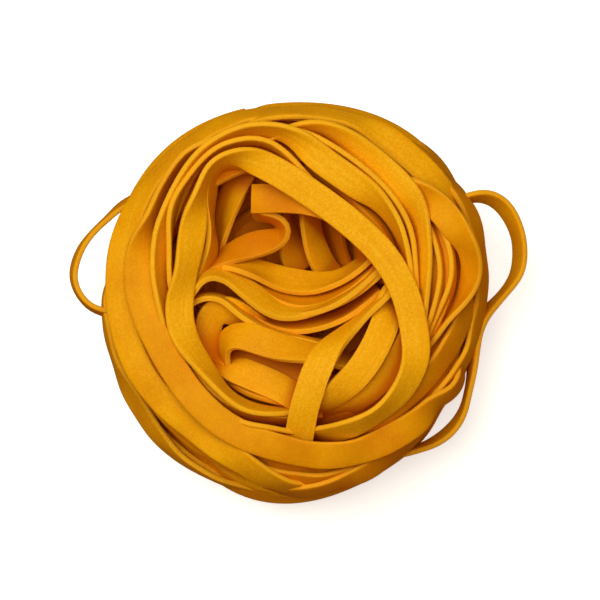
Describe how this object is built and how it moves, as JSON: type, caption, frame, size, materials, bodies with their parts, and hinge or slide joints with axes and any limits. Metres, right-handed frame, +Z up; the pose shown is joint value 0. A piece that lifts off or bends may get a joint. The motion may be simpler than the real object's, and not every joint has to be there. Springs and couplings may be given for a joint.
{
  "type": "dry pasta nest",
  "caption": "Round bundle of flat dried egg-pasta ribbon wound round an open hollow, with slack loops standing out at the side, resting on a flat underside.",
  "frame": {"origin": "on the surface it rests on, under the middle of the whole nest with its side loops", "axes": "+Z up, +X towards the side with two loops, +Y towards the side where the winding is smoothest"},
  "size_m": [0.0938, 0.0792, 0.037],
  "materials": {
    "dried_egg_pasta": "dull, faintly floury golden orange dough, paler along the cut edges"
  },
  "bodies": {
    "root": {"pasta_nest": "dried_egg_pasta"}
  },
  "joints": []
}
